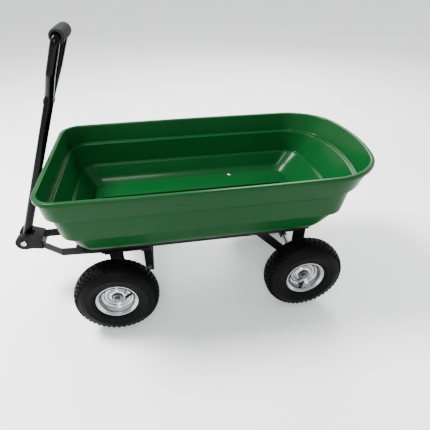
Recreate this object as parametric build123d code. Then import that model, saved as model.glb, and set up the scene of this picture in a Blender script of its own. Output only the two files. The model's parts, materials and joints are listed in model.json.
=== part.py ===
from build123d import *
import math
import os
from collections import namedtuple

# A four-wheeled garden tow cart: a moulded tipping tray on a steel frame with a
# steered front axle and a drawbar handle.  Millimetres.  +Z is up, the drawbar
# is at -X and the tray tips over the rear axle at +X.  The origin is on the
# floor, midway along the cart and on its centre line.

os.makedirs("parts", exist_ok=True)

SIDES = {"left": -1, "right": 1}

# ---------------------------------------------------------------- running gear
TYRE_R = 130.0
TYRE_HALF_W = 42.0
WHEELBASE = 600.0
TRACK_HALF = 218.0
FRONT_AXLE_X = -250.0
REAR_AXLE_X = FRONT_AXLE_X + WHEELBASE
AXLE_Z = TYRE_R
AXLE_R = 8.0
RUN_GAP = 0.05
AXLE_HALF_LEN = 246.0
COTTER_Y = 238.0

RIM_FLANGE_R = 62.0
RIM_SEAT_R = 50.8
RIM_HALF_W = 30.0
RIM_SHEET = 2.5
RIM_DISH_V = 9.0
HUB_TUBE_R = 20.0
HUB_OUT_V = 12.0
HUB_IN_V = -46.0
BEARING_R = 16.0
BEARING_LEN = 12.0
VALVE_TURN = {"front_left": 75, "front_right": 290, "rear_left": 183, "rear_right": 20}
VALVE_TILT = 199
VALVE_MID = (18.3, 39.9)
VALVE_LEN = 33.0
VALVE_R = (4.5, 3.4)

# ------------------------------------------------------------------------ tray
WALL = 5.0
RIM_TOP_Z = 502.0
RIM_BEAD_H = 12.0
LEDGE_1_Z = 435.0
LEDGE_2_Z = 358.0
FLOOR_ROUND_Z = 309.0
FLOOR_Z = 291.0

# One horizontal outline of the tray: a straight front, gently bowed sides and
# a rounded tipping end.
Outline = namedtuple("Outline", "front rear half side_bow front_r rear_r rear_bow")
RIM_LINE = Outline(-409, 570, 265, 7, 62, 150, 60)
TIER_1_TOP = Outline(-402, 563, 258, 7, 56, 144, 58)
TIER_1_FOOT = Outline(-396, 537, 248, 4, 54, 132, 54)
TIER_2_TOP = Outline(-386, 522, 234, 3, 50, 122, 50)
TIER_2_FOOT = Outline(-371, 472, 228, 2, 48, 70, 20)
TIER_3_TOP = Outline(-363, 462, 219, 2, 46, 62, 16)
TIER_3_FOOT = Outline(-338, 414, 204, 1, 42, 50, 12)
FLOOR_LINE = Outline(-326, 396, 190, 1, 34, 42, 10)

PLATEAU_HALF = 145.0
PLATEAU_X = (-318.0, 372.0)
PLATEAU_H = 3.0
RIB_Y = (75.0, 94.0)
RIB_X = (-290.0, 352.0)
RIB_H = 3.0

# ------------------------------------------------------------------- tray frame
RAIL_WEB_Y = (164.5, 168.0)
RAIL_FLANGE_Y = 190.0
RAIL_X = (-335.0, 362.0)
RAIL_Z = (265.0, FLOOR_Z)
RAIL_T = 3.5
CROSS_FRONT_X = (-349.0, -290.0)
CROSS_REAR_X = (322.0, 360.0)
TRAY_BOLT_X = {"front": -306.0, "middle": 181.0}
TRAY_BOLT_Y = {"front": 64.0, "middle": 180.0}
BOLT_R = 4.0
POST_Y = (152.0, 156.0)
POST_X = (326.0, 368.0)
POST_TAIL = 19.0
POST_ROUND = 15.0
BRACE_Y = (156.0, 160.0)
BRACE_W = 28.0
BRACE_TOP = (204.0, 275.0)
PIVOT_BUSH_R = 12.0

# --------------------------------------------------------------------- chassis
BEAM_HALF = 19.0
BEAM_Z = (222.0, 254.0)
BEAM_X = (-318.0, 366.0)
BEAM_WALL = 3.0
CROSS_Z = (254.0, 259.0)
HOOP_X = (-163.0, -136.0)
HOOP_HALF = 102.0
HOOP_T = 5.0
HOOP_BOTTOM_Z = 108.0
HOOP_BOLT_Z = 126.0
BOLSTER_X = (-272.0, -228.0)
REST_BAR_Y = (160.0, 172.0)
REST_BAR_X = (-280.0, -132.0)
PAD_H = 1.5
KINGPIN_R = 8.0
KING_GAP = 0.05
LUG_HALF = 8.0
SLEEVE_R = 13.0
SLEEVE_HALF = 20.0

# -------------------------------------------------------------------- steering
TURN_PLATE_Z = (206.0, 212.0)
THRUST_Z = (212.0, 216.0)
KING_PLATE_Z = (216.0, 222.0)
KING_FOOT_Z = 190.0
LEG_Y = (97.0, 103.0)
LEG_X_HALF = 22.0
LEG_BOTTOM_Z = 110.0
ARM_T = 4.0
ARM_H = 28.0
ARM_YOKE = (-490.0, 29.0, 197.0)
ARM_BEND = (-428.0, 56.0, 178.0)
ARM_REAR = (-228.0, 68.0, 178.0)

# ---------------------------------------------------------------------- handle
HANDLE_PIVOT_X = -544.0
HANDLE_PIVOT_Z = 226.0
HANDLE_LEAN = 22.53
YOKE_R = 26.0
YOKE_HALF = 36.0
YOKE_SLOT_HALF = 14.0
HANDLE_TUBE_R = 12.7
HANDLE_TUBE_WALL = 1.8
HANDLE_TUBE_LEN = 476.0
LOOP_TUBE_R = 11.5
GRIP_AT = 660.0
GRIP_R = 18.0
GRIP_HALF = 60.0
PIVOT_BOLT_R = 5.0

# ----------------------------------------------------------------------- catch
CATCH_X = -333.5
CATCH_BAR_Z = 268.0
CATCH_BAR_R = 4.0
CATCH_HALF = 9.0
CATCH_FOOT_Z = 246.0
NOSE_T = 3.0


def block(x, y, z):
    """A box between two values on each axis."""
    centre = Pos((x[0] + x[1]) / 2, (y[0] + y[1]) / 2, (z[0] + z[1]) / 2)
    return centre * Box(abs(x[1] - x[0]), abs(y[1] - y[0]), abs(z[1] - z[0]))


def sided(side, y):
    """A Y range mirrored to the side that is -1 or 1."""
    return (min(side * y[0], side * y[1]), max(side * y[0], side * y[1]))


def rod_y(radius, y, x, z):
    """A cylinder along Y between two values of y."""
    return Pos(x, (y[0] + y[1]) / 2, z) * Rot(90, 0, 0) * Cylinder(radius, abs(y[1] - y[0]))


def rod_z(radius, x, y, z):
    """A cylinder along Z between two values of z."""
    return Pos(x, y, (z[0] + z[1]) / 2) * Cylinder(radius, abs(z[1] - z[0]))


def hex_z(across_flats, x, y, z):
    """A hexagonal head or nut along Z."""
    outline = RegularPolygon(across_flats / math.sqrt(3), 6)
    return Pos(x, y, z[0]) * extrude(outline, z[1] - z[0])


def hex_y(across_flats, y, x, z):
    """A hexagonal head or nut along Y."""
    outline = Plane.XZ * RegularPolygon(across_flats / math.sqrt(3), 6)
    return Pos(x, y[1], z) * extrude(outline, y[1] - y[0])


def turned_y(points):
    """A solid of revolution about Y from (radius, y) points."""
    return revolve(make_face(Polyline(*points, close=True)), Axis.Y)


def write(name, shape):
    """One STEP file for one named piece."""
    export_step(shape, f"parts/{name}.step")


# ------------------------------------------------------------------------ tray
def tray_face(line, z, inset=0.0):
    """The area inside one tray outline at height z, drawn in by an inset."""
    front = line.front + inset
    rear = line.rear - inset
    half = line.half - inset
    corner = half - line.side_bow
    shoulder = rear - line.rear_bow
    middle = (front + shoulder) / 2
    edges = [
        Line((front, corner), (front, -corner)),
        ThreePointArc((front, -corner), (middle, -half), (shoulder, -corner)),
        ThreePointArc((shoulder, -corner), (rear, 0), (shoulder, corner)),
        ThreePointArc((shoulder, corner), (middle, half), (front, corner)),
    ]
    face = make_face(edges)
    corners = face.vertices().sort_by(Axis.X)
    face = fillet(corners[:2], line.front_r - inset)
    corners = [v for v in face.vertices() if abs(v.X - shoulder) < 1.0]
    face = fillet(corners, line.rear_r - inset)
    return Pos(0, 0, z) * face


def tray_tier(foot, foot_z, top, top_z, inset=0.0):
    """One stage of the tray between two outlines."""
    return loft([tray_face(foot, foot_z, inset), tray_face(top, top_z, inset)], ruled=True)


def tray_bulk(inset, rise):
    """The stepped body of the tray, or the hollow inside it."""
    bulk = tray_tier(FLOOR_LINE, FLOOR_Z + rise, TIER_3_FOOT, FLOOR_ROUND_Z + rise, inset)
    bulk += tray_tier(TIER_3_FOOT, FLOOR_ROUND_Z + rise, TIER_3_TOP, LEDGE_2_Z + rise, inset)
    bulk += tray_tier(TIER_2_FOOT, LEDGE_2_Z + rise, TIER_2_TOP, LEDGE_1_Z + rise, inset)
    bulk += tray_tier(TIER_1_FOOT, LEDGE_1_Z + rise, TIER_1_TOP, RIM_TOP_Z, inset)
    return bulk


def tray_bolt_places():
    """The four places where the tray is bolted to its frame."""
    return [
        (TRAY_BOLT_X[row], side * TRAY_BOLT_Y[row])
        for row in TRAY_BOLT_X
        for side in SIDES.values()
    ]


def tray():
    """The moulded tray with its rolled rim, three tiers and ribbed floor."""
    bead_foot = RIM_TOP_Z - RIM_BEAD_H
    shell = tray_bulk(0.0, 0.0)
    shell += extrude(tray_face(RIM_LINE, bead_foot), RIM_BEAD_H)
    shell -= tray_bulk(WALL, WALL)
    floor_top = FLOOR_Z + WALL
    shell += block(PLATEAU_X, (-PLATEAU_HALF, PLATEAU_HALF), (floor_top - 1, floor_top + PLATEAU_H))
    rib_z = (floor_top + PLATEAU_H - 1, floor_top + PLATEAU_H + RIB_H)
    for side in SIDES.values():
        shell += block(RIB_X, sided(side, RIB_Y), rib_z)
    for x, y in tray_bolt_places():
        shell -= rod_z(BOLT_R, x, y, (FLOOR_Z - 10, FLOOR_Z + 20))
    return shell


def tray_fasteners():
    """Dome-headed bolts through the tray floor, and the nuts under the frame."""
    bolts = []
    nuts = []
    for x, y in tray_bolt_places():
        raised = PLATEAU_H if abs(y) < PLATEAU_HALF else 0.0
        seat = FLOOR_Z + WALL + raised
        under = FLOOR_Z - RAIL_T
        bolt = rod_z(BOLT_R, x, y, (under - 9, seat)) + rod_z(9.0, x, y, (seat, seat + 4.0))
        bolts.append(fillet(bolt.edges().sort_by(Axis.Z)[-1], 3.0))
        nut = hex_z(13.0, x, y, (under - 6.5, under)) - rod_z(BOLT_R, x, y, (under - 7, under + 1))
        nuts.append(nut)
    return Compound(children=bolts), Compound(children=nuts)


# ------------------------------------------------------------------- tray frame
def tray_rail(side):
    """An angle-iron rail under one edge of the tray."""
    web = block(RAIL_X, sided(side, RAIL_WEB_Y), RAIL_Z)
    flange_z = (RAIL_Z[1] - RAIL_T, RAIL_Z[1])
    flange = block(RAIL_X, sided(side, (RAIL_WEB_Y[0], RAIL_FLANGE_Y)), flange_z)
    bolt_y = side * TRAY_BOLT_Y["middle"]
    hole = rod_z(BOLT_R, TRAY_BOLT_X["middle"], bolt_y, (flange_z[0] - 5, flange_z[1] + 5))
    return web + flange - hole


def front_cross_angle():
    """The angle that joins the rails' front ends and carries the latch striker."""
    inner = RAIL_WEB_Y[0]
    top = (RAIL_Z[1] - RAIL_T, RAIL_Z[1])
    leg = block(CROSS_FRONT_X, (-inner, inner), top)
    lip = block((CROSS_FRONT_X[0], CROSS_FRONT_X[0] + RAIL_T), (-inner, inner), (RAIL_Z[0] + 2, RAIL_Z[1]))
    angle = leg + lip
    for side in SIDES.values():
        bolt_y = side * TRAY_BOLT_Y["front"]
        angle -= rod_z(BOLT_R, TRAY_BOLT_X["front"], bolt_y, (RAIL_Z[0], RAIL_Z[1] + 5))
    return angle


def rear_cross_bar():
    """The flat bar that ties the two rear posts together under the tray."""
    return block(CROSS_REAR_X, (-POST_Y[0], POST_Y[0]), (RAIL_Z[1] - 5, RAIL_Z[1]))


def rear_post(side):
    """A plate from the rail down to the rear axle, bored for the pivot bush."""
    plate = block(POST_X, sided(side, POST_Y), (AXLE_Z - POST_TAIL, RAIL_Z[1]))
    plate = fillet(plate.edges().filter_by(Axis.Y).group_by(Axis.Z)[0], POST_ROUND)
    return plate - rod_y(PIVOT_BUSH_R, sided(side, (POST_Y[0] - 5, POST_Y[1] + 5)), REAR_AXLE_X, AXLE_Z)


def rear_brace(side):
    """A flat bar that runs forward from the axle up to the rail."""
    x = BRACE_TOP[0] - REAR_AXLE_X
    z = BRACE_TOP[1] - AXLE_Z
    length = math.hypot(x, z)
    y = sided(side, BRACE_Y)
    bar = Pos(0, (y[0] + y[1]) / 2, length / 2) * Box(BRACE_W, y[1] - y[0], length)
    bar = Pos(REAR_AXLE_X, 0, AXLE_Z) * Rot(0, math.degrees(math.atan2(x, z)), 0) * bar
    bar += rod_y(BRACE_W / 2 + 3, y, REAR_AXLE_X, AXLE_Z)
    bar -= rod_y(PIVOT_BUSH_R, (y[0] - 5, y[1] + 5), REAR_AXLE_X, AXLE_Z)
    return bar & block((0, 500), (y[0] - 1, y[1] + 1), (0, RAIL_Z[1] - RAIL_T))


def pivot_bush(side):
    """The tipping bush, pressed in the post and brace and free on the axle."""
    y = sided(side, (POST_Y[0] - 2, BRACE_Y[1] + 1))
    bush = rod_y(PIVOT_BUSH_R, y, REAR_AXLE_X, AXLE_Z)
    return bush - rod_y(AXLE_R + RUN_GAP, (y[0] - 1, y[1] + 1), REAR_AXLE_X, AXLE_Z)


def brace_plug(side):
    """The weld pad that fills the gap between brace and rail web."""
    y = sided(side, (BRACE_Y[1], RAIL_WEB_Y[0]))
    return block((BRACE_TOP[0] - 14, BRACE_TOP[0] + 24), y, (RAIL_Z[0] + 1, RAIL_Z[1] - RAIL_T))


def catch_striker():
    """The catch bar under the front cross angle, between two small ears."""
    x = (CATCH_X - 11, CATCH_X + 11)
    z = (CATCH_BAR_Z - 6, RAIL_Z[1] - RAIL_T)
    ears = [block(x, sided(side, (12.0, 15.0)), z) for side in SIDES.values()]
    return ears[0] + ears[1] + rod_y(CATCH_BAR_R, (-15.0, 15.0), CATCH_X, CATCH_BAR_Z)


# --------------------------------------------------------------------- chassis
def main_beam():
    """The box beam from the kingpin back to the rear axle."""
    beam = block(BEAM_X, (-BEAM_HALF, BEAM_HALF), BEAM_Z)
    inner = BEAM_HALF - BEAM_WALL
    beam -= block(BEAM_X, (-inner, inner), (BEAM_Z[0] + BEAM_WALL, BEAM_Z[1] - BEAM_WALL))
    return beam - rod_z(KINGPIN_R, FRONT_AXLE_X, 0, (BEAM_Z[0] - 5, BEAM_Z[1] + 5))


def axle_lug():
    """The lug under the beam's rear end, with the sleeve that holds the axle."""
    top_x = (REAR_AXLE_X - 40, REAR_AXLE_X + 14)
    profile = Polyline(
        (top_x[0], BEAM_Z[0]),
        (top_x[1], BEAM_Z[0]),
        (REAR_AXLE_X + 11, AXLE_Z),
        (REAR_AXLE_X - 11, AXLE_Z),
        close=True,
    )
    lug = Pos(0, LUG_HALF, 0) * extrude(Plane.XZ * make_face(profile), 2 * LUG_HALF)
    lug += rod_y(SLEEVE_R, (-SLEEVE_HALF, SLEEVE_HALF), REAR_AXLE_X, AXLE_Z)
    return lug - rod_y(AXLE_R, (-SLEEVE_HALF - 5, SLEEVE_HALF + 5), REAR_AXLE_X, AXLE_Z)


def beam_cap():
    """The plastic plug in the beam's rear end."""
    inner = BEAM_HALF - BEAM_WALL
    z = (BEAM_Z[0] + BEAM_WALL, BEAM_Z[1] - BEAM_WALL)
    plug = block((BEAM_X[1] - 12, BEAM_X[1]), (-inner, inner), z)
    return plug + block((BEAM_X[1], BEAM_X[1] + 3), (-BEAM_HALF, BEAM_HALF), BEAM_Z)


def axle(x):
    """A straight round axle with a cotter hole near each end."""
    shaft = rod_y(AXLE_R, (-AXLE_HALF_LEN, AXLE_HALF_LEN), x, AXLE_Z)
    shaft = chamfer(shaft.edges().filter_by(GeomType.CIRCLE), 1.0)
    for side in SIDES.values():
        shaft -= rod_z(1.6, x, side * COTTER_Y, (AXLE_Z - 20, AXLE_Z + 20))
    return shaft


def bolster():
    """The cross plate over the kingpin that carries the front of the rest bars."""
    top = block(BOLSTER_X, (-REST_BAR_Y[1], REST_BAR_Y[1]), CROSS_Z)
    return top - rod_z(KINGPIN_R, FRONT_AXLE_X, 0, (CROSS_Z[0] - 5, CROSS_Z[1] + 5))


def rest_bar(side):
    """A short bar on which the tray's rail comes to rest."""
    return block(REST_BAR_X, sided(side, REST_BAR_Y), (CROSS_Z[1], RAIL_Z[0] - PAD_H - 0.3))


def rest_pads():
    """Rubber strips between the rest bars and the rails."""
    z = (RAIL_Z[0] - PAD_H - 0.3, RAIL_Z[0] - 0.3)
    pads = [block(REST_BAR_X, sided(side, REST_BAR_Y), z) for side in SIDES.values()]
    return Compound(children=pads)


def hoop_bar():
    """The cross bar that the hoop hangs from, over the beam."""
    return block(HOOP_X, (-REST_BAR_Y[1], REST_BAR_Y[1]), CROSS_Z)


def steering_hoop():
    """The strap that hangs behind the front axle and stops it swinging too far."""
    z_top = CROSS_Z[0]
    hoop = block(HOOP_X, (-HOOP_HALF, HOOP_HALF), (HOOP_BOTTOM_Z, z_top))
    inner = HOOP_HALF - HOOP_T
    hoop -= block((HOOP_X[0] - 5, HOOP_X[1] + 5), (-inner, inner), (HOOP_BOTTOM_Z + HOOP_T, z_top + 5))
    middle = (HOOP_X[0] + HOOP_X[1]) / 2
    for side in SIDES.values():
        hoop -= rod_y(BOLT_R, sided(side, (inner - 5, HOOP_HALF + 5)), middle, HOOP_BOLT_Z)
    return hoop


def hoop_bolts():
    """The buffer bolts near the bottom of the hoop."""
    middle = (HOOP_X[0] + HOOP_X[1]) / 2
    bolts = []
    for side in SIDES.values():
        shank = rod_y(BOLT_R, sided(side, (HOOP_HALF - HOOP_T - 8, HOOP_HALF)), middle, HOOP_BOLT_Z)
        head = hex_y(13.0, sided(side, (HOOP_HALF, HOOP_HALF + 5)), middle, HOOP_BOLT_Z)
        nut = hex_y(13.0, sided(side, (HOOP_HALF - HOOP_T - 6, HOOP_HALF - HOOP_T)), middle, HOOP_BOLT_Z)
        bolts.append(shank + head + nut)
    return Compound(children=bolts)


def king_plate():
    """The wear plate welded under the beam."""
    plate = rod_z(46.0, FRONT_AXLE_X, 0, KING_PLATE_Z)
    return plate - rod_z(KINGPIN_R, FRONT_AXLE_X, 0, (KING_PLATE_Z[0] - 5, KING_PLATE_Z[1] + 5))


def kingpin():
    """The vertical bolt that the front axle steers about."""
    pin = rod_z(KINGPIN_R, FRONT_AXLE_X, 0, (KING_FOOT_Z, CROSS_Z[1]))
    return pin + rod_z(13.0, FRONT_AXLE_X, 0, (CROSS_Z[1], CROSS_Z[1] + 4.5))


def kingpin_nut():
    """The lock nut under the turning plate, clear of it by a sliver."""
    nut = hex_z(24.0, FRONT_AXLE_X, 0, (KING_FOOT_Z + 2, KING_FOOT_Z + 14))
    return nut - rod_z(KINGPIN_R, FRONT_AXLE_X, 0, (KING_FOOT_Z, KING_FOOT_Z + 20))


# -------------------------------------------------------------------- steering
def thrust_washer():
    """The nylon disc that the king plate turns on."""
    disc = rod_z(44.0, FRONT_AXLE_X, 0, (THRUST_Z[0], THRUST_Z[1] - 0.3))
    return disc - rod_z(KINGPIN_R + KING_GAP, FRONT_AXLE_X, 0, (THRUST_Z[0] - 5, THRUST_Z[1] + 5))


def axle_bracket():
    """The inverted channel that carries the front axle in its two legs."""
    x = (FRONT_AXLE_X - LEG_X_HALF, FRONT_AXLE_X + LEG_X_HALF)
    bracket = block(x, (-LEG_Y[1], LEG_Y[1]), TURN_PLATE_Z)
    bracket += rod_z(46.0, FRONT_AXLE_X, 0, TURN_PLATE_Z)
    for side in SIDES.values():
        y = sided(side, LEG_Y)
        bracket += block(x, y, (AXLE_Z, TURN_PLATE_Z[1]))
        bracket += rod_y(LEG_X_HALF, y, FRONT_AXLE_X, AXLE_Z)
        bracket -= rod_y(AXLE_R, (y[0] - 5, y[1] + 5), FRONT_AXLE_X, AXLE_Z)
    bore = rod_z(KINGPIN_R + KING_GAP, FRONT_AXLE_X, 0, (TURN_PLATE_Z[0] - 5, TURN_PLATE_Z[1] + 5))
    return bracket - bore


def arm_section(side, place):
    """The upright section of a drawbar arm at one place along it."""
    x, y, z = place
    outline = Plane.YZ * Rectangle(ARM_T, ARM_H)
    return Pos(x, side * (y + ARM_T / 2), z + ARM_H / 2) * outline


def fork_arm(side):
    """A flat bar from the yoke back to the axle bracket, bent once."""
    arm = loft([arm_section(side, ARM_YOKE), arm_section(side, ARM_BEND)], ruled=True)
    arm += loft([arm_section(side, ARM_BEND), arm_section(side, ARM_REAR)], ruled=True)
    return arm + arm_tab(side)


def arm_tab(side):
    """The tongue at the arm's front end that goes into the yoke."""
    x, y, z = ARM_YOKE
    return block((x - 22, x), sided(side, (y, y + ARM_T)), (z + 2, z + ARM_H - 2))


def yoke():
    """The moulded fork head with two round ears for the handle's pivot bolt."""
    x, z = HANDLE_PIVOT_X, HANDLE_PIVOT_Z
    width = (-YOKE_HALF, YOKE_HALF)
    head = rod_y(YOKE_R, width, x, z)
    profile = Polyline((x, z + YOKE_R), (x, z - YOKE_R), (x + 22, z - 24), (-490, 196), (-490, 228), close=True)
    body = Pos(0, YOKE_HALF, 0) * extrude(Plane.XZ * make_face(profile), 2 * YOKE_HALF)
    head += body
    head -= block((x - 40, -516), (-YOKE_SLOT_HALF, YOKE_SLOT_HALF), (z - 40, z + 40))
    for side in SIDES.values():
        head -= arm_tab(side)
        step = sided(side, (YOKE_HALF - 3, YOKE_HALF))
        head -= rod_y(12.0, step, x, z)
    return head - rod_y(PIVOT_BOLT_R, (-YOKE_HALF - 5, YOKE_HALF + 5), x, z)


def pivot_bolt():
    """The bolt that the handle swings on."""
    x, z = HANDLE_PIVOT_X, HANDLE_PIVOT_Z
    seat = YOKE_HALF - 3
    bolt = rod_y(PIVOT_BOLT_R, (-seat, seat + 8), x, z)
    return bolt + hex_y(16.0, (-seat - 6, -seat), x, z)


def pivot_nut():
    """The lock nut on the pivot bolt."""
    x, z = HANDLE_PIVOT_X, HANDLE_PIVOT_Z
    seat = YOKE_HALF - 3
    nut = hex_y(16.0, (seat, seat + 7), x, z)
    return nut - rod_y(PIVOT_BOLT_R, (seat - 1, seat + 9), x, z)


# ---------------------------------------------------------------------- handle
HANDLE_FRAME = Pos(HANDLE_PIVOT_X, 0, HANDLE_PIVOT_Z) * Rot(0, HANDLE_LEAN, 0)


def handle_tube():
    """The drawbar tube, bored across at its foot for the pivot bolt."""
    bar = rod_z(HANDLE_TUBE_R, 0, 0, (-14, HANDLE_TUBE_LEN))
    bar -= rod_z(HANDLE_TUBE_R - HANDLE_TUBE_WALL, 0, 0, (22, HANDLE_TUBE_LEN + 5))
    bar -= rod_y(PIVOT_BOLT_R + RUN_GAP, (-20, 20), 0, 0)
    return HANDLE_FRAME * bar


def loop_bar(radius):
    """The bent D of the hand loop at one radius."""
    route = FilletPolyline(
        (0, 12.2, HANDLE_TUBE_LEN),
        (0, 12.2, 502),
        (0, 50, 568),
        (0, 62, GRIP_AT),
        (0, -62, GRIP_AT),
        (0, -50, 568),
        (0, -12.2, 502),
        (0, -12.2, HANDLE_TUBE_LEN),
        radius=18,
    )
    start = Plane(origin=route @ 0, z_dir=route % 0)
    return sweep(start * Circle(radius), path=route)


def handle_loop():
    """The D-shaped hand loop, with the cap that joins it to the drawbar tube."""
    cap = Pos(0, 0, HANDLE_TUBE_LEN) * extrude(SlotOverall(48.0, 27.0, rotation=90), 10)
    loop = loop_bar(LOOP_TUBE_R) + cap
    return HANDLE_FRAME * (loop - loop_bar(LOOP_TUBE_R - HANDLE_TUBE_WALL))


def handle_grip():
    """The foam sleeve over the top of the hand loop."""
    foam = rod_y(GRIP_R, (-GRIP_HALF, GRIP_HALF), 0, GRIP_AT)
    foam = fillet(foam.edges().filter_by(GeomType.CIRCLE), 4.0)
    return HANDLE_FRAME * (foam - loop_bar(LOOP_TUBE_R))


# ----------------------------------------------------------------------- catch
def nose_bracket():
    """The short shelf on the beam's nose that the catch clip stands on."""
    plate = block((BEAM_X[0] - NOSE_T, BEAM_X[0]), (-BEAM_HALF, BEAM_HALF), BEAM_Z)
    shelf = block((CATCH_X - 14, BEAM_X[0] - NOSE_T), (-CATCH_HALF - 3, CATCH_HALF + 3), (CATCH_FOOT_Z - 6, CATCH_FOOT_Z))
    return plate + shelf


def catch_clip():
    """The spring clip, open upward, that grips the tray's catch bar."""
    y = (-CATCH_HALF, CATCH_HALF)
    foot = block((CATCH_X - 7.5, CATCH_X + 9.5), y, (CATCH_FOOT_Z, CATCH_FOOT_Z + 2.5))
    front_leaf = block((CATCH_X - 7.5, CATCH_X - 5.0), y, (CATCH_FOOT_Z, CATCH_BAR_Z + 6))
    rear_leaf = block((CATCH_X + 7.0, CATCH_X + 9.5), y, (CATCH_FOOT_Z, CATCH_BAR_Z + 6))
    return foot + front_leaf + rear_leaf


# ---------------------------------------------------------------------- wheels

def wheel_places():
    """Each wheel's name, axle position and side."""
    for end, x in (("front", FRONT_AXLE_X), ("rear", REAR_AXLE_X)):
        for name, side in SIDES.items():
            yield f"{end}_{name}", x, side


def place_wheel(shape, x, side):
    """Move a wheel piece from its own centre to its axle, outer face outward."""
    turned = shape if side > 0 else shape.mirror(Plane.XZ)
    return Pos(x, side * TRACK_HALF, AXLE_Z) * turned


def tyre():
    """A pneumatic tyre with rounded shoulders, open at the bore."""
    half = TYRE_HALF_W
    outer = [(RIM_SEAT_R, 26.7), (62.8, 27), (65, 29), (76, 37), (94, half), (110, 40), (121, 34), (128, 22), (TYRE_R, 9)]
    inner = [(120, 9), (116, 24), (102, 33), (88, 34), (70, 29), (58, 22), (RIM_SEAT_R, 20)]
    loop = outer + [(r, -v) for r, v in reversed(outer)]
    hollow = [(r, -v) for r, v in reversed(inner)] + inner
    loop += hollow
    return turned_y(loop)


def inner_tube():
    """The air tube as a thin skin round its air."""
    skin = [(54, 15), (64, 22), (80, 29), (96, 30), (110, 24), (116, 10)]
    air = [(56, 13.5), (65, 20), (81, 27), (95, 28), (108.5, 22.5), (114, 9)]
    tube = turned_y(skin + [(r, -v) for r, v in reversed(skin)])
    tube -= turned_y(air + [(r, -v) for r, v in reversed(air)])
    return tube


def valve(turn, foot_r=VALVE_R[0], tip_r=VALVE_R[1]):
    """The rubber valve stem that comes out through the rim's well."""
    v, r = VALVE_MID
    return Rot(0, turn, 0) * Pos(0, v, r) * Rot(VALVE_TILT, 0, 0) * Cone(foot_r, tip_r, VALVE_LEN)


def rim():
    """A pressed steel rim with its dished centre and hub tube."""
    t = RIM_SHEET
    seat = RIM_SEAT_R - t
    barrel = [
        (RIM_FLANGE_R, 30), (RIM_FLANGE_R, 27.6), (RIM_SEAT_R, 27), (RIM_SEAT_R, -27),
        (RIM_FLANGE_R, -27.6), (RIM_FLANGE_R, -30), (seat, -29), (seat, 29),
    ]
    dish = [
        (seat + 0.5, RIM_DISH_V + 4), (44, RIM_DISH_V), (31, RIM_DISH_V - 1), (27, HUB_OUT_V - 1),
        (HUB_TUBE_R, HUB_OUT_V), (BEARING_R, HUB_OUT_V), (BEARING_R, HUB_OUT_V - BEARING_LEN),
        (13, HUB_OUT_V - BEARING_LEN), (13, HUB_IN_V + BEARING_LEN), (BEARING_R, HUB_IN_V + BEARING_LEN),
        (BEARING_R, HUB_IN_V), (HUB_TUBE_R, HUB_IN_V), (HUB_TUBE_R, HUB_OUT_V - 12),
        (25, HUB_OUT_V - 5), (30, RIM_DISH_V - 5), (44, RIM_DISH_V - 4), (seat + 0.5, RIM_DISH_V),
    ]
    return turned_y(barrel) + turned_y(dish)


def bearings():
    """A flanged bearing bush in each end of the hub."""
    bore = AXLE_R + RUN_GAP
    outer = turned_y([
        (bore, HUB_OUT_V - BEARING_LEN), (BEARING_R, HUB_OUT_V - BEARING_LEN), (BEARING_R, HUB_OUT_V),
        (18, HUB_OUT_V), (18, HUB_OUT_V + 2), (bore, HUB_OUT_V + 2),
    ])
    inner = turned_y([
        (bore, HUB_IN_V + BEARING_LEN), (BEARING_R, HUB_IN_V + BEARING_LEN), (BEARING_R, HUB_IN_V),
        (18, HUB_IN_V), (18, HUB_IN_V - 2), (bore, HUB_IN_V - 2),
    ])
    return outer + inner


def axle_washers(x):
    """The washers on each side of both hubs of one axle."""
    washers = []
    for side in SIDES.values():
        for y in ((TRACK_HALF + HUB_IN_V - 4.7, TRACK_HALF + HUB_IN_V - 2.3),
                  (TRACK_HALF + HUB_OUT_V + 2.3, TRACK_HALF + HUB_OUT_V + 4.7)):
            place = sided(side, y)
            disc = rod_y(15.0, place, x, AXLE_Z)
            washers.append(disc - rod_y(AXLE_R, (place[0] - 1, place[1] + 1), x, AXLE_Z))
    return Compound(children=washers)


def axle_cotters(x):
    """The split pins that keep the wheels on one axle."""
    pins = []
    for side in SIDES.values():
        y = side * COTTER_Y
        pin = rod_z(1.6, x, y, (AXLE_Z - 13, AXLE_Z + 11))
        pins.append(pin + Pos(x, y, AXLE_Z + 13) * Rot(90, 0, 0) * Torus(3.6, 1.4))
    return Compound(children=pins)


# ---------------------------------------------------------------- all the pieces
def write_tray_body():
    """The tray and everything that tips with it."""
    write("tray", tray())
    bolts, nuts = tray_fasteners()
    write("tray_bolts", bolts)
    write("tray_nuts", nuts)
    write("front_cross_angle", front_cross_angle())
    write("rear_cross_bar", rear_cross_bar())
    write("catch_striker", catch_striker())
    for name, side in SIDES.items():
        write(f"tray_rail_{name}", tray_rail(side))
        write(f"rear_post_{name}", rear_post(side))
        write(f"rear_brace_{name}", rear_brace(side) + brace_plug(side))
    write("pivot_bushes", Compound(children=[pivot_bush(side) for side in SIDES.values()]))


def write_chassis():
    """The beam, the rear axle and the frame that the tray rests on."""
    write("main_beam", main_beam())
    write("axle_lug", axle_lug())
    write("beam_cap", beam_cap())
    write("rear_axle", axle(REAR_AXLE_X))
    write("front_bolster", bolster())
    write("hoop_cross_bar", hoop_bar())
    write("rest_bars", Compound(children=[rest_bar(side) for side in SIDES.values()]))
    write("rest_pads", rest_pads())
    write("steering_hoop", steering_hoop())
    write("hoop_bolts", hoop_bolts())
    write("king_plate", king_plate())
    write("kingpin", kingpin())
    write("kingpin_nut", kingpin_nut())
    write("nose_bracket", nose_bracket())
    write("catch_clip", catch_clip())
    write("rear_axle_washers", axle_washers(REAR_AXLE_X))
    write("rear_axle_cotters", axle_cotters(REAR_AXLE_X))


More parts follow.
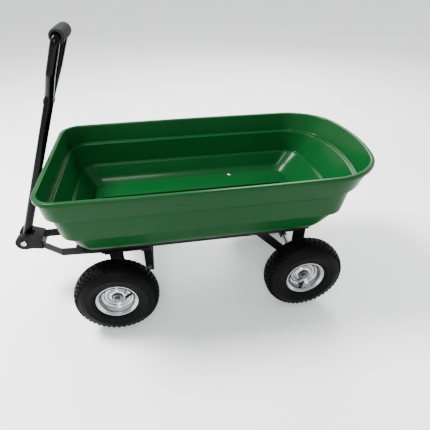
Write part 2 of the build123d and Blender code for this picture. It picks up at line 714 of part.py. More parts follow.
def write_steering():
    """The steered front axle, its drawbar fork and the hand loop."""
    write("axle_bracket", axle_bracket())
    write("thrust_washer", thrust_washer())
    write("front_axle", axle(FRONT_AXLE_X))
    write("front_axle_washers", axle_washers(FRONT_AXLE_X))
    write("front_axle_cotters", axle_cotters(FRONT_AXLE_X))
    for name, side in SIDES.items():
        write(f"fork_arm_{name}", fork_arm(side))
    write("handle_yoke", yoke())
    write("pivot_bolt", pivot_bolt())
    write("pivot_nut", pivot_nut())
    write("handle_tube", handle_tube())
    write("handle_loop", handle_loop())
    write("handle_grip", handle_grip())


def write_wheels():
    """Four wheels, each with its tyre, tube, rim and bearings."""
    pieces = {"tyre": tyre(), "bearings": bearings()}
    for name, x, side in wheel_places():
        for piece, shape in pieces.items():
            write(f"{name}_{piece}", place_wheel(shape, x, side))
        drilled = rim() - valve(VALVE_TURN[name], VALVE_R[0] + 0.3, VALVE_R[1] + 0.6)
        write(f"{name}_rim", place_wheel(drilled, x, side))
        tube = inner_tube() + valve(VALVE_TURN[name]) - valve(VALVE_TURN[name], 1.2, 1.2 + 0.01)
        write(f"{name}_tube", place_wheel(tube, x, side))


write_tray_body()
write_chassis()
write_steering()
write_wheels()
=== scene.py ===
import json
import math

import bmesh
import bpy
from mathutils import Matrix, Vector


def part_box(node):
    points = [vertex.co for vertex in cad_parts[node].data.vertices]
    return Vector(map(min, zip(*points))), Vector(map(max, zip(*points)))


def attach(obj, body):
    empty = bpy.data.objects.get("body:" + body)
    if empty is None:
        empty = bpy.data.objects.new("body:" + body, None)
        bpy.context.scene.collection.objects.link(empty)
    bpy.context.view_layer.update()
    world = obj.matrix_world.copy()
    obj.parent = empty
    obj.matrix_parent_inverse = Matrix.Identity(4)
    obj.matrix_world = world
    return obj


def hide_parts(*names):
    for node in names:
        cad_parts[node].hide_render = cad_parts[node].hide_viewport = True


# The looks of a tipping garden cart, in metres: a moulded tray, knobbly tyres,
# pressed rims and a foam grip built as meshes, and a finish for every piece.

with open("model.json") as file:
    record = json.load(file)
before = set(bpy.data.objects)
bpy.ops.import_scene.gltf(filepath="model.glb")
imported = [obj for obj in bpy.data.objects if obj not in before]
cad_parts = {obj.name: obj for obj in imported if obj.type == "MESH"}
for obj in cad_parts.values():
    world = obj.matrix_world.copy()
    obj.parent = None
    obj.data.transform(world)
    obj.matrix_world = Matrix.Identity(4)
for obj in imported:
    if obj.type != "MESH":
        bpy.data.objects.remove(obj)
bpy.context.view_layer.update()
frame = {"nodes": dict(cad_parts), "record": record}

# Each wheel with its side of the cart, where -1 is the -Y side.
WHEELS = {
    "front_left": -1,
    "front_right": 1,
    "rear_left": -1,
    "rear_right": 1,
}


# ---------------------------------------------------------------- mesh helpers
# The most of the way to the next corner that an eased corner may take.
LARGEST_EASE = 0.45


def finish_mesh(name, bm, sharp_deg=40):
    """Turns a bmesh into a smooth-shaded object that keeps its hard edges."""
    bmesh.ops.recalc_face_normals(bm, faces=bm.faces)
    mesh = bpy.data.meshes.new(name)
    bm.to_mesh(mesh)
    bm.free()
    mesh.shade_smooth()
    mesh.set_sharp_from_angle(angle=math.radians(sharp_deg))
    obj = bpy.data.objects.new(name, mesh)
    bpy.context.scene.collection.objects.link(obj)
    return obj


def bridge(bm, one, two):
    """Quads between two closed rings of the same length."""
    count = len(one)
    for i in range(count):
        j = (i + 1) % count
        bm.faces.new((one[i], one[j], two[j], two[i]))


def lathe(bm, profile, steps):
    """A closed (radius, v) loop turned about the Y axis."""
    rings = []
    for r, v in profile:
        turns = [math.tau * i / steps for i in range(steps)]
        rings.append([bm.verts.new((r * math.sin(a), v, r * math.cos(a))) for a in turns])
    for one, two in zip(rings, rings[1:] + rings[:1]):
        bridge(bm, one, two)


def rounded(points, radii, steps=4):
    """Eases the corners of a chain of outlines, each with its height at the end."""
    chain = [points[0]]
    for before, here, after, radius in zip(points, points[1:], points[2:], radii[1:-1]):
        ends = []
        for other in (before, after):
            reach = math.dist((here[2], here[-1]), (other[2], other[-1]))
            share = min(LARGEST_EASE, radius / max(reach, 1e-6))
            ends.append([h + (o - h) * share for h, o in zip(here, other)])
        for i in range(steps + 1):
            t = i / steps
            weights = ((1 - t) ** 2, 2 * t * (1 - t), t * t)
            trio = zip(ends[0], here, ends[1])
            chain.append([sum(w * c for w, c in zip(weights, cs)) for cs in trio])
    return chain + [points[-1]]


# ------------------------------------------------------------------------ tray
# Each outline is how far it lies inside the rim at the front, rear and sides,
# then its side bow, front and rear corner radii and rear bow.
WALL = 0.005
RIM = (0, 0, 0, 0.007, 0.062, 0.150, 0.060)
TIER_1_TOP = (0.007, 0.007, 0.0075, 0.007, 0.056, 0.144, 0.058)
TIER_1_FOOT = (0.013, 0.033, 0.0175, 0.004, 0.054, 0.132, 0.054)
TIER_2_TOP = (0.023, 0.048, 0.0315, 0.003, 0.050, 0.122, 0.050)
TIER_2_FOOT = (0.038, 0.098, 0.0375, 0.002, 0.048, 0.070, 0.020)
TIER_3_TOP = (0.046, 0.108, 0.0465, 0.002, 0.046, 0.062, 0.016)
TIER_3_FOOT = (0.071, 0.156, 0.0615, 0.001, 0.042, 0.050, 0.012)
FLOOR = (0.083, 0.174, 0.0755, 0.001, 0.034, 0.042, 0.010)
PLATEAU_FOOT = (0.091, 0.197, 0.1185, 0.0005, 0.012, 0.014, 0.002)
PLATEAU_TOP = (0.093, 0.200, 0.1205, 0.0005, 0.010, 0.012, 0.002)
PLATEAU_H = 0.005
PLATEAU_INSET = 0.004

# The two floor ribs: their ends from the tray's front and rear, and their edges
# from its middle line.
RIB_H = 0.007
RIB_SINK = 0.001
RIB_FRONT = 0.119
RIB_REAR = 0.218
RIB_EDGES = (0.075, 0.094)

# Steps along an outline's front, -Y side, rear and +Y side, and round a corner.
SIDE_STEPS = (20, 44, 36, 44)
CORNER_STEPS = 10
# The rear corners start at this share of their radius along the sides.
REAR_EASE = 0.82

tray_lo, tray_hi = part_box("tray")
RIM_Z = tray_hi.z
FLOOR_Z = tray_lo.z
TIER_1_DEPTH = 0.067
TIER_2_DEPTH = 0.144
FLOOR_ROUND = 0.018
BEAD_DEPTH = 0.013
LEDGE_1_Z = RIM_Z - TIER_1_DEPTH
LEDGE_2_Z = RIM_Z - TIER_2_DEPTH
FLOOR_ROUND_Z = FLOOR_Z + FLOOR_ROUND
BEAD_Z = RIM_Z - BEAD_DEPTH


def inner(line):
    """The same outline one wall further in."""
    front, rear, side, bow, front_r, rear_r, rear_bow = line
    insets = (front + WALL, rear + WALL, side + WALL)
    return insets + (bow, front_r - WALL, rear_r - WALL, rear_bow)


def side_point(start, end, bow, outward, t):
    """A point and direction on a bowed side of the outline."""
    chord = end - start
    point = start + chord * t + outward * bow * (1 - (2 * t - 1) ** 2)
    heading = chord - outward * bow * 4 * (2 * t - 1)
    return point, heading.normalized()


def corner_curve(here, heading, there, onward):
    """The points between the ends of two sides, on a cubic close to an arc."""
    turn = math.acos(max(-1.0, min(1.0, heading.dot(onward))))
    span = (there - here).length
    handle = span / (2 * math.sin(turn / 2)) * 4 / 3 * math.tan(turn / 4)
    controls = (here, here + heading * handle, there - onward * handle, there)
    points = []
    for k in range(1, CORNER_STEPS):
        t = k / CORNER_STEPS
        weights = ((1 - t) ** 3, 3 * t * (1 - t) ** 2, 3 * t * t * (1 - t), t ** 3)
        points.append(sum((w * p for w, p in zip(weights, controls)), Vector((0, 0))))
    return points


def outline(line, z):
    """The closed ring of points of one tray outline at height z."""
    in_front, in_rear, in_side, bow, front_r, rear_r, rear_bow = line
    front = tray_lo.x + in_front
    shoulder = tray_hi.x - in_rear - rear_bow
    corner = tray_hi.y - in_side - bow
    places = ((front, corner), (front, -corner), (shoulder, -corner), (shoulder, corner))
    corners = [Vector(place) for place in places]
    outward = [Vector(n) for n in ((-1, 0), (0, -1), (1, 0), (0, 1))]
    bows = (0, bow, rear_bow, bow)
    reach = (front_r, front_r, rear_r * REAR_EASE, rear_r * REAR_EASE)
    lengths = [(corners[(i + 1) % 4] - corners[i]).length for i in range(4)]
    ring = []
    for i in range(4):
        j = (i + 1) % 4
        this_side = (corners[i], corners[j], bows[i], outward[i])
        next_side = (corners[j], corners[(j + 1) % 4], bows[j], outward[j])
        t0 = reach[i] / lengths[i]
        t1 = 1 - reach[j] / lengths[i]
        for k in range(SIDE_STEPS[i] + 1):
            t = t0 + (t1 - t0) * k / SIDE_STEPS[i]
            ring.append(side_point(*this_side, t)[0])
        here, heading = side_point(*this_side, t1)
        there, onward = side_point(*next_side, reach[j] / lengths[j])
        ring += corner_curve(here, heading, there, onward)
    return [(p.x, p.y, z) for p in ring]


def tray_profile():
    """The tray's wall as outlines from under the floor, over the rim, to the inside."""
    up = WALL
    middle = tuple(d + PLATEAU_INSET for d in PLATEAU_TOP[:3]) + PLATEAU_TOP[3:]
    # Each stage is an outline, its height and how far its corner is eased.
    stages = [
        (FLOOR, FLOOR_Z, 0),
        (TIER_3_FOOT, FLOOR_ROUND_Z, 0.010),
        (TIER_3_TOP, LEDGE_2_Z, 0.003),
        (TIER_2_FOOT, LEDGE_2_Z, 0.002),
        (TIER_2_TOP, LEDGE_1_Z, 0.003),
        (TIER_1_FOOT, LEDGE_1_Z, 0.002),
        (TIER_1_TOP, BEAD_Z, 0.002),
        (RIM, BEAD_Z, 0.002),
        (RIM, RIM_Z, 0.004),
        (inner(TIER_1_TOP), RIM_Z, 0.004),
        (inner(TIER_1_FOOT), LEDGE_1_Z + up, 0.003),
        (inner(TIER_2_TOP), LEDGE_1_Z + up, 0.003),
        (inner(TIER_2_FOOT), LEDGE_2_Z + up, 0.003),
        (inner(TIER_3_TOP), LEDGE_2_Z + up, 0.003),
        (inner(TIER_3_FOOT), FLOOR_ROUND_Z + up, 0.010),
        (inner(FLOOR), FLOOR_Z + up, 0.004),
        (PLATEAU_FOOT, FLOOR_Z + up, 0.001),
        (PLATEAU_TOP, FLOOR_Z + up + PLATEAU_H, 0.0012),
        (middle, FLOOR_Z + up + PLATEAU_H, 0),
    ]
    points = [list(line) + [z] for line, z, _ in stages]
    return rounded(points, [r for _, _, r in stages])


def rib(bm, x, y, z, height):
    """A low rib on the tray floor that draws in towards its top."""
    crown = []
    for rise, draw in ((-RIB_SINK, 0), (height * 0.8, 0.0008), (height, 0.0024)):
        x0, x1 = x[0] + draw * 3, x[1] - draw * 3
        y0, y1 = y[0] + draw, y[1] - draw
        corners = ((x0, y0), (x1, y0), (x1, y1), (x0, y1))
        crown.append([bm.verts.new((cx, cy, z + rise)) for cx, cy in corners])
    for one, two in zip(crown, crown[1:]):
        bridge(bm, one, two)
    bm.faces.new(crown[-1])


def build_tray():
    bm = bmesh.new()
    rings = []
    for *line, z in tray_profile():
        rings.append([bm.verts.new(p) for p in outline(line, z)])
    for one, two in zip(rings, rings[1:]):
        bridge(bm, one, two)
    bm.faces.new(rings[0])
    bm.faces.new(rings[-1])
    top = FLOOR_Z + WALL + PLATEAU_H
    for side in (-1, 1):
        y = sorted(side * edge for edge in RIB_EDGES)
        rib(bm, (tray_lo.x + RIB_FRONT, tray_hi.x - RIB_REAR), y, top, RIB_H)
    tray = finish_mesh("tray_shell", bm, sharp_deg=32)
    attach(tray, "tray_body")
    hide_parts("tray")
    return tray


# ---------------------------------------------------------------------- wheels
# Half of the tyre's section, as (radius, v) from the bead to the crown. v runs
# along the axle from the wheel's middle.
TYRE_HALF = [
    (0.0509, 0.0262), (0.0628, 0.0268), (0.0655, 0.0296), (0.0695, 0.0332), (0.0745, 0.0360),
    (0.0760, 0.0374), (0.0775, 0.0374), (0.0790, 0.0376), (0.0850, 0.0392), (0.0900, 0.0400),
    (0.0915, 0.0412), (0.0930, 0.0412), (0.0945, 0.0403), (0.1000, 0.0396), (0.1050, 0.0376),
    (0.1110, 0.0344), (0.1165, 0.0298), (0.1205, 0.0238), (0.1232, 0.0168), (0.1248, 0.0090),
    (0.1254, 0.0),
]
TYRE_STEPS = 136
# The rows of tread blocks: the section points a row stands on, then its shift
# round the tyre, its width and its slant, in pitches.
LUG_ROWS = (
    ((16, 17), 0.0, 0.62, 0.10),
    ((17, 18), 0.5, 0.66, 0.12),
    ((18, 20), 0.0, 0.58, 0.16),
)
PITCHES = 46
STAGGER = 0.25
LUG_HEIGHT = 0.0036
# A block's layers as (height, share of its full width), and its points across.
LUG_LAYERS = ((-0.0006, 1.0), (LUG_HEIGHT * 0.82, 0.86), (LUG_HEIGHT, 0.74))
LUG_ACROSS = (-0.5, -0.17, 0.17, 0.5)


def section_normals(section):
    """The outward (radius, v) direction at each point of an open section."""
    normals = []
    for i in range(len(section)):
        r0, v0 = section[max(0, i - 1)]
        r1, v1 = section[min(len(section) - 1, i + 1)]
        normal = Vector((v0 - v1, r1 - r0)).normalized()
        normals.append(normal if i < len(section) - 1 else Vector((1, 0)))
    return normals


def lug(bm, span, turn, width, side, slant):
    """One tread block that stands on the carcass between two section points."""
    normals = section_normals(TYRE_HALF)
    first, last = span
    rows = range(first, last + 1)
    skins = []
    for height, shrink in LUG_LAYERS:
        skin = []
        for k in rows:
            r = TYRE_HALF[k][0] + normals[k].x * height
            v = TYRE_HALF[k][1] + normals[k].y * height
            lean = slant * (k - first) / max(1, last - first)
            angles = [turn + lean + width * shrink * e for e in LUG_ACROSS]
            places = [(r * math.sin(a), side * v, r * math.cos(a)) for a in angles]
            skin.append([bm.verts.new(place) for place in places])
        skins.append(skin)
    top = skins[-1]
    for row, after in zip(top, top[1:]):
        for i in range(len(row) - 1):
            bm.faces.new((row[i], row[i + 1], after[i + 1], after[i]))
    edges = []
    for skin in skins:
        out = [row[-1] for row in skin[1:-1]]
        back = [row[0] for row in skin[-2:0:-1]]
        edges.append(skin[0] + out + skin[-1][::-1] + back)
    for one, two in zip(edges, edges[1:]):
        bridge(bm, one, two)


def build_tyre_mesh():
    """A pneumatic tyre with raised blocks that wrap over its shoulders."""
    bm = bmesh.new()
    other = [(r, -v) for r, v in reversed(TYRE_HALF[:-1])]
    lathe(bm, TYRE_HALF + other, TYRE_STEPS)
    pitch = math.tau / PITCHES
    for i in range(PITCHES):
        for side in (-1, 1):
            turn = i * pitch + pitch * STAGGER * side
            for span, shift, width, slant in LUG_ROWS:
                lug(bm, span, turn + pitch * shift, pitch * width, side, pitch * slant)
    return finish_mesh("tyre", bm, sharp_deg=38)


# The rim's face, from the bead seat over the flange lip and into the hub.
RIM_FACE = [
    (0.0507, 0.0258), (0.0560, 0.0264), (0.0605, 0.0272), (0.0624, 0.0284), (0.0631, 0.0298),
    (0.0627, 0.0310), (0.0614, 0.0315), (0.0600, 0.0309), (0.0586, 0.0296), (0.0560, 0.0280),
    (0.0530, 0.0262), (0.0512, 0.0240), (0.0503, 0.0210), (0.0498, 0.0160), (0.0490, 0.0125),
    (0.0474, 0.0104), (0.0452, 0.0096), (0.0432, 0.0096), (0.0418, 0.0084), (0.0408, 0.0058),
    (0.0394, 0.0040), (0.0365, 0.0034), (0.0335, 0.0036), (0.0308, 0.0046), (0.0288, 0.0072),
    (0.0268, 0.0108), (0.0244, 0.0121), (0.0215, 0.0124), (0.0204, 0.0127), (0.0180, 0.0128),
    (0.0164, 0.0126),
]
# Its back, from the end of the hub out to the other bead seat.
RIM_BACK = [
    (0.0164, -0.0460), (0.0200, -0.0460), (0.0202, 0.0000), (0.0220, 0.0050), (0.0262, 0.0068),
    (0.0290, 0.0045), (0.0320, 0.0016), (0.0370, 0.0014), (0.0404, 0.0026), (0.0440, 0.0060),
    (0.0470, 0.0070), (0.0482, 0.0060), (0.0485, -0.0240), (0.0500, -0.0272), (0.0560, -0.0300),
    (0.0612, -0.0314), (0.0632, -0.0300), (0.0630, -0.0284), (0.0560, -0.0264), (0.0507, -0.0258),
]
RIM_STEPS = 120


def build_wheels():
    """Tyre and rim meshes, shared by the four wheels."""
    made = {"tyre": build_tyre_mesh()}
    bm = bmesh.new()
    lathe(bm, RIM_FACE + RIM_BACK, RIM_STEPS)
    made["rim"] = finish_mesh("rim", bm, sharp_deg=50)
    slots = {"tyre": "tyre_rubber", "rim": "rim_steel"}
    pieces = []
    for index, (wheel, side) in enumerate(WHEELS.items()):
        lo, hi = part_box(f"{wheel}_tyre")
        for kind, source in made.items():
            piece = bpy.data.objects.new(f"{wheel}_{kind}_skin", source.data)
            bpy.context.scene.collection.objects.link(piece)
            facing = Matrix.Identity(4) if side > 0 else Matrix.Rotation(math.pi, 4, "Z")
            roll = Matrix.Rotation(math.radians(90 * index), 4, "Y")
            piece.matrix_world = Matrix.Translation((lo + hi) / 2) @ facing @ roll
            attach(piece, f"{wheel}_wheel")
            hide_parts(f"{wheel}_{kind}")
            pieces.append((piece, slots[kind]))
    for source in made.values():
        bpy.data.objects.remove(source)
    return pieces


# ------------------------------------------------------------------------ grip
GRIP_STEPS = 72
GRIP_BORE = 0.66


def build_grip():
    """The foam sleeve on the loop's cross bar."""
    lo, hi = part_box("handle_grip")
    centre = (lo + hi) / 2
    half = (hi.y - lo.y) / 2
    radius = (hi.z - lo.z) / 2
    bore = radius * GRIP_BORE
    # Half of its section, as (radius, v) from its end to its middle.
    side = [
        (bore, half - 0.0004), (radius - 0.004, half), (radius - 0.0015, half - 0.0012),
        (radius - 0.0002, half - 0.004), (radius, half - 0.009), (radius + 0.0004, half * 0.5),
        (radius + 0.0006, 0),
    ]
    bm = bmesh.new()
    lathe(bm, side + [(r, -v) for r, v in reversed(side[:-1])], GRIP_STEPS)
    grip = finish_mesh("foam_sleeve", bm, sharp_deg=50)
    grip.location = centre
    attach(grip, "handle")
    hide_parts("handle_grip")
    return grip


# ------------------------------------------------------------------- materials
class Nodes:
    """A short way to wire a node material."""

    def __init__(self, name, gloss=0.5):
        self.material = bpy.data.materials.new(name)
        self.material.use_nodes = True
        self.tree = self.material.node_tree
        self.shader = self.tree.nodes["Principled BSDF"]
        self.shader.inputs["Specular IOR Level"].default_value = gloss
        self.coords = self.add("ShaderNodeTexCoord").outputs["Object"]

    def add(self, kind, **settings):
        node = self.tree.nodes.new(kind)
        for key, value in settings.items():
            setattr(node, key, value)
        return node

    def wire(self, output, target):
        self.tree.links.new(output, target)

    def noise(self, scale, detail=4.0, rough=0.55, stretch=(1, 1, 1)):
        mapping = self.add("ShaderNodeMapping")
        mapping.inputs["Scale"].default_value = stretch
        self.wire(self.coords, mapping.inputs["Vector"])
        node = self.add("ShaderNodeTexNoise")
        node.inputs["Scale"].default_value = scale
        node.inputs["Detail"].default_value = detail
        node.inputs["Roughness"].default_value = rough
        self.wire(mapping.outputs["Vector"], node.inputs["Vector"])
        return node.outputs["Fac"]

    def remap(self, value, low, high, out_low, out_high):
        node = self.add("ShaderNodeMapRange")
        node.inputs["From Min"].default_value = low
        node.inputs["From Max"].default_value = high
        node.inputs["To Min"].default_value = out_low
        node.inputs["To Max"].default_value = out_high
        self.wire(value, node.inputs["Value"])
        return node.outputs["Result"]

    def mix(self, factor, one, two):
        node = self.add("ShaderNodeMix", data_type="RGBA")
        self.wire(factor, node.inputs["Factor"])
        for socket, colour in ((node.inputs["A"], one), (node.inputs["B"], two)):
            if isinstance(colour, tuple):
                socket.default_value = (*colour, 1)
            else:
                self.wire(colour, socket)
        return node.outputs["Result"]

    def times(self, one, two):
        node = self.add("ShaderNodeMath", operation="MULTIPLY")
        self.wire(one, node.inputs[0])
        self.wire(two, node.inputs[1])
        return node.outputs["Value"]

    def facing_up(self):
        geometry = self.add("ShaderNodeNewGeometry")
        split = self.add("ShaderNodeSeparateXYZ")
        self.wire(geometry.outputs["Normal"], split.inputs["Vector"])
        return self.remap(split.outputs["Z"], 0.3, 1.0, 0.0, 1.0)

    def bumps(self, layers, ease=0.0):
        """Stacks (height, strength, distance) layers, over eased edges if asked."""
        normal = None
        if ease:
            bevel = self.add("ShaderNodeBevel", samples=4)
            bevel.inputs["Radius"].default_value = ease
            normal = bevel.outputs["Normal"]
        for height, strength, distance in layers:
            bump = self.add("ShaderNodeBump")
            bump.inputs["Strength"].default_value = strength
            bump.inputs["Distance"].default_value = distance
            self.wire(height, bump.inputs["Height"])
            if normal:
                self.wire(normal, bump.inputs["Normal"])
            normal = bump.outputs["Normal"]
        self.wire(normal, self.shader.inputs["Normal"])


def shade(colour, amount):
    """The colour made lighter or darker."""
    return tuple(c * amount for c in colour)


def coated(
    name, colour, dust, rough, coat=0.0, metallic=0.0, grain=900, grain_depth=0.00008,
    ease=0.0, dust_share=0.12, swirl=(1, 1, 1), gloss=0.12,
):
    """Paint, plastic or metal with tone drift, smudges, fine grain and settled dust."""
    n = Nodes(name, gloss)
    drift = n.remap(n.noise(5, 3), 0.35, 0.65, 0, 1)
    smudge = n.noise(38, 6, 0.65, swirl)
    fine = n.noise(grain, 3, 0.5, swirl)
    tone = n.mix(drift, shade(colour, 0.86), shade(colour, 1.12))
    tone = n.mix(n.remap(smudge, 0.55, 0.75, 0, 0.35), tone, shade(colour, 0.7))
    settled = n.times(n.facing_up(), n.remap(smudge, 0.4, 0.7, 0, dust_share))
    tone = n.mix(settled, tone, dust)
    n.wire(tone, n.shader.inputs["Base Color"])
    n.wire(n.remap(smudge, 0.3, 0.7, rough * 0.8, rough * 1.25), n.shader.inputs["Roughness"])
    n.shader.inputs["Metallic"].default_value = metallic
    if metallic:
        n.shader.inputs["Specular IOR Level"].default_value = 0.5
    n.shader.inputs["Coat Weight"].default_value = coat
    n.shader.inputs["Coat Roughness"].default_value = 0.12
    n.bumps([(fine, 0.35, grain_depth), (n.noise(60, 2), 0.25, 0.0002)], ease)
    return n.material


DUST = (0.04, 0.038, 0.034)


def tray_plastic():
    n = Nodes("tray_plastic", 0.05)
    green = (0.0024, 0.0400, 0.0080)
    streaked = (0.0036, 0.0430, 0.0105)
    scuffed = (0.0062, 0.056, 0.015)
    drift = n.remap(n.noise(2.2, 3), 0.35, 0.65, 0, 1)
    flow = n.noise(16, 5, 0.6, (0.4, 1, 1))
    scuff = n.noise(150, 8, 0.7, (1, 0.25, 1))
    tone = n.mix(drift, shade(green, 0.92), shade(green, 1.08))
    tone = n.mix(n.remap(flow, 0.5, 0.75, 0, 0.3), tone, streaked)
    tone = n.mix(n.remap(scuff, 0.68, 0.78, 0, 0.14), tone, scuffed)
    # Painted shade: an ambient-occlusion mask darkens the green towards a deep shade in creases,
    # ledge feet, rib sides and channels, where shade falls.
    crevice_shade = n.add("ShaderNodeAmbientOcclusion", samples=6)
    crevice_shade.inputs["Distance"].default_value = 0.02
    tone = n.mix(n.remap(crevice_shade.outputs["AO"], 0.45, 0.95, 0.75, 0), tone, shade(green, 0.3))
    settled = n.times(n.facing_up(), n.remap(flow, 0.45, 0.7, 0, 0.02))
    n.wire(n.mix(settled, tone, DUST), n.shader.inputs["Base Color"])
    n.wire(n.remap(flow, 0.3, 0.7, 0.26, 0.36), n.shader.inputs["Roughness"])
    n.shader.inputs["IOR"].default_value = 1.5
    n.shader.inputs["Coat Weight"].default_value = 0.08
    n.shader.inputs["Coat Roughness"].default_value = 0.12
    n.bumps([(n.noise(1400, 2), 0.2, 0.00005), (n.noise(7, 2), 0.3, 0.0010)])
    return n.material


def tyre_rubber():
    n = Nodes("tyre_rubber", 0.05)
    black = (0.0016, 0.0016, 0.0017)
    worn = (0.0028, 0.0028, 0.0029)
    dusted = (0.014, 0.0136, 0.0125)
    patch = n.noise(26, 5, 0.6)
    tone = n.mix(n.remap(patch, 0.35, 0.65, 0, 1), black, worn)
    dusty = n.remap(n.noise(240, 6, 0.7), 0.55, 0.75, 0, 0.3)
    n.wire(n.mix(dusty, tone, dusted), n.shader.inputs["Base Color"])
    n.wire(n.remap(patch, 0.3, 0.7, 0.42, 0.62), n.shader.inputs["Roughness"])
    n.bumps([(n.noise(1600, 3), 0.4, 0.0001), (n.noise(90, 3), 0.3, 0.0003)])
    return n.material


def rim_steel():
    n = Nodes("rim_steel", 0.5)
    silver = (0.46, 0.47, 0.48)
    dull = (0.2, 0.195, 0.19)
    cloud = n.noise(45, 4, 0.6)
    turned = n.noise(600, 2, 0.5, (1, 0.2, 1))
    tone = n.mix(n.remap(cloud, 0.35, 0.65, 0, 1), shade(silver, 0.85), silver)
    tone = n.mix(n.remap(n.noise(420, 6, 0.6), 0.60, 0.75, 0, 0.22), tone, dull)
    n.wire(tone, n.shader.inputs["Base Color"])
    n.wire(n.remap(cloud, 0.3, 0.7, 0.16, 0.24), n.shader.inputs["Roughness"])
    n.shader.inputs["Metallic"].default_value = 1.0
    n.bumps([(turned, 0.2, 0.00005), (n.noise(30, 1), 0.12, 0.0003)])
    return n.material


def grip_foam():
    n = Nodes("grip_foam", 0.05)
    grey = (0.019, 0.0205, 0.0197)
    cells = n.add("ShaderNodeTexVoronoi")
    cells.inputs["Scale"].default_value = 620
    n.wire(n.coords, cells.inputs["Vector"])
    worn = n.noise(30, 5, 0.6)
    tone = n.mix(n.remap(worn, 0.35, 0.65, 0, 1), shade(grey, 0.75), shade(grey, 1.15))
    tone = n.mix(n.remap(cells.outputs["Distance"], 0.0, 0.35, 0.6, 0), tone, shade(grey, 0.4))
    n.wire(tone, n.shader.inputs["Base Color"])
    n.wire(n.remap(worn, 0.3, 0.7, 0.75, 0.95), n.shader.inputs["Roughness"])
    n.bumps([(cells.outputs["Distance"], 0.5, 0.0005), (n.noise(70, 3), 0.3, 0.0006)])
    return n.material


# What coated() is given for each of the plainer slots.
COATS = {
    "frame_paint": dict(
        colour=(0.0036, 0.0037, 0.0041), dust=DUST, rough=0.42,
        grain=1100, grain_depth=0.0002, ease=0.0012,
    ),
    "handle_paint": dict(
        colour=(0.0008, 0.0008, 0.0009), dust=DUST, rough=0.24,
        coat=0.06, ease=0.001, dust_share=0.01, gloss=0.08,
    ),
    "yoke_plastic": dict(
        colour=(0.0014, 0.0014, 0.0015), dust=DUST, rough=0.48,
        grain=700, grain_depth=0.0002, ease=0.002, dust_share=0.04,
    ),
    "bright_zinc": dict(
        colour=(0.42, 0.43, 0.44), dust=(0.3, 0.29, 0.26), rough=0.24,
        metallic=1.0, ease=0.0008,
    ),
    "zinc_steel": dict(
        colour=(0.13, 0.13, 0.13), dust=(0.14, 0.13, 0.11), rough=0.34,
        metallic=1.0, ease=0.0008, swirl=(0.3, 1, 1),
    ),
    "spring_steel": dict(
        colour=(0.2, 0.2, 0.21), dust=(0.12, 0.11, 0.1), rough=0.32,
        metallic=1.0, ease=0.0006,
    ),
    "tube_rubber": dict(
        colour=(0.002, 0.002, 0.002), dust=DUST, rough=0.5, grain=900, dust_share=0.03,
    ),
    "pad_rubber": dict(
        colour=(0.003, 0.003, 0.003), dust=DUST, rough=0.7, grain=500, grain_depth=0.0003,
    ),
    "bearing_plastic": dict(colour=(0.012, 0.012, 0.012), dust=DUST, rough=0.42),
}

finishes = {
    "tray_plastic": tray_plastic(),
    "tyre_rubber": tyre_rubber(),
    "rim_steel": rim_steel(),
    "grip_foam": grip_foam(),
}
for coat_name, settings in COATS.items():
    finishes[coat_name] = coated(coat_name, **settings)


def dress(obj, slot_name):
    """Gives a piece its finish and nothing else."""
    obj.data.materials.clear()
    obj.data.materials.append(finishes[slot_name])


for subpart in frame["record"]["subparts"]:
    dress(frame["nodes"][subpart["node"]], subpart["material_slot"])

dress(build_tray(), "tray_plastic")
dress(build_grip(), "grip_foam")
for piece, slot_name in build_wheels():
    dress(piece, slot_name)


# ----------------------------------------------------------------- the setting
FLOOR_REACH = 40
FLOOR_TOP = -0.0005
ROOM_COLOUR = (0.95, 0.96, 0.97, 1)
ROOM_STRENGTH = {"From Min": -0.9, "From Max": 0.6, "To Min": 0.75, "To Max": 1.9}
# Name, place, target, width, power and colour.
LIGHTS = (
    ("key", (-1.7, 0.5, 2.9), (0, 0, 0.3), 1.1, 330, (1.0, 0.99, 0.97)),
    ("fill", (-0.6, -3.0, 2.6), (0, 0, 0.2), 1.2, 90, (0.96, 0.98, 1.0)),
    ("back", (1.2, 2.6, 2.4), (0, 0, 0.4), 1.6, 120, (1, 1, 1)),
)
CAMERA_PLACE = (-0.07647, -1.04608, 0.98687)
CAMERA_ANGLES = (9.2135, -35.2139, -0.2990)
SENSOR_WIDTH = 36
LENS = 30.62


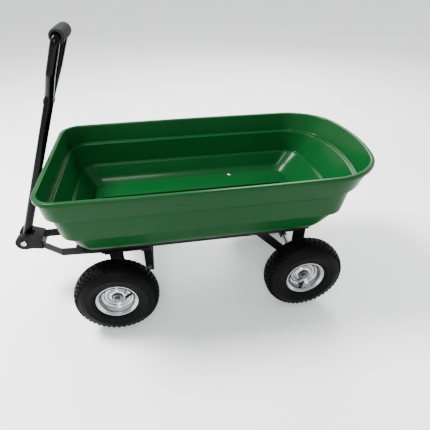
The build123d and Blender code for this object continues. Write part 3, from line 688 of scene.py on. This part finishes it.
def build_floor():
    bm = bmesh.new()
    corners = []
    for x, y in ((-1, -1), (1, -1), (1, 1), (-1, 1)):
        corners.append(bm.verts.new((x * FLOOR_REACH, y * FLOOR_REACH, FLOOR_TOP)))
    bm.faces.new(corners)
    floor = finish_mesh("floor", bm)
    n = Nodes("floor_paint")
    pale, paler = (0.86, 0.86, 0.865), (0.90, 0.90, 0.90)
    tone = n.mix(n.remap(n.noise(1.3, 3), 0.35, 0.65, 0, 1), pale, paler)
    n.wire(tone, n.shader.inputs["Base Color"])
    n.wire(n.remap(n.noise(4, 3), 0.3, 0.7, 0.5, 0.65), n.shader.inputs["Roughness"])
    n.bumps([(n.noise(300, 3), 0.1, 0.0001)])
    floor.data.materials.append(n.material)


def shade_room(tree):
    """A pale room that is dimmer on the near side, so that curved metal reads."""
    coords = tree.nodes.new("ShaderNodeTexCoord")
    split = tree.nodes.new("ShaderNodeSeparateXYZ")
    tree.links.new(coords.outputs["Generated"], split.inputs["Vector"])
    depth = tree.nodes.new("ShaderNodeMapRange")
    depth.interpolation_type = "SMOOTHSTEP"
    for socket, value in ROOM_STRENGTH.items():
        depth.inputs[socket].default_value = value
    tree.links.new(split.outputs["Y"], depth.inputs["Value"])
    tree.links.new(depth.outputs["Result"], tree.nodes["Background"].inputs["Strength"])
    tree.nodes["Background"].inputs["Color"].default_value = ROOM_COLOUR


def add_light(name, place, target, size, power, colour):
    light = bpy.data.lights.new(name, "AREA")
    light.shape = "DISK"
    light.size = size
    light.energy = power
    light.color = colour
    obj = bpy.data.objects.new(name, light)
    bpy.context.scene.collection.objects.link(obj)
    obj.location = place
    aim = Vector(target) - Vector(place)
    obj.rotation_euler = aim.to_track_quat("-Z", "Y").to_euler()


def add_camera():
    """The camera from its place and its yaw, pitch and roll."""
    yaw, pitch, roll = (math.radians(a) for a in CAMERA_ANGLES)
    east = math.sin(yaw) * math.cos(pitch)
    north = math.cos(yaw) * math.cos(pitch)
    ahead = Vector((east, north, math.sin(pitch)))
    level = Vector((math.cos(yaw), -math.sin(yaw), 0))
    raised = level.cross(ahead)
    right = level * math.cos(roll) + raised * math.sin(roll)
    up = raised * math.cos(roll) - level * math.sin(roll)
    data = bpy.data.cameras.new("camera")
    data.sensor_width = SENSOR_WIDTH
    data.lens = LENS
    camera = bpy.data.objects.new("camera", data)
    bpy.context.scene.collection.objects.link(camera)
    turned = Matrix((right, up, -ahead)).transposed().to_4x4()
    camera.matrix_world = Matrix.Translation(CAMERA_PLACE) @ turned
    bpy.context.scene.camera = camera


build_floor()
for light_settings in LIGHTS:
    add_light(*light_settings)
world = bpy.data.worlds.new("soft_room")
world.use_nodes = True
shade_room(world.node_tree)
bpy.context.scene.world = world
add_camera()
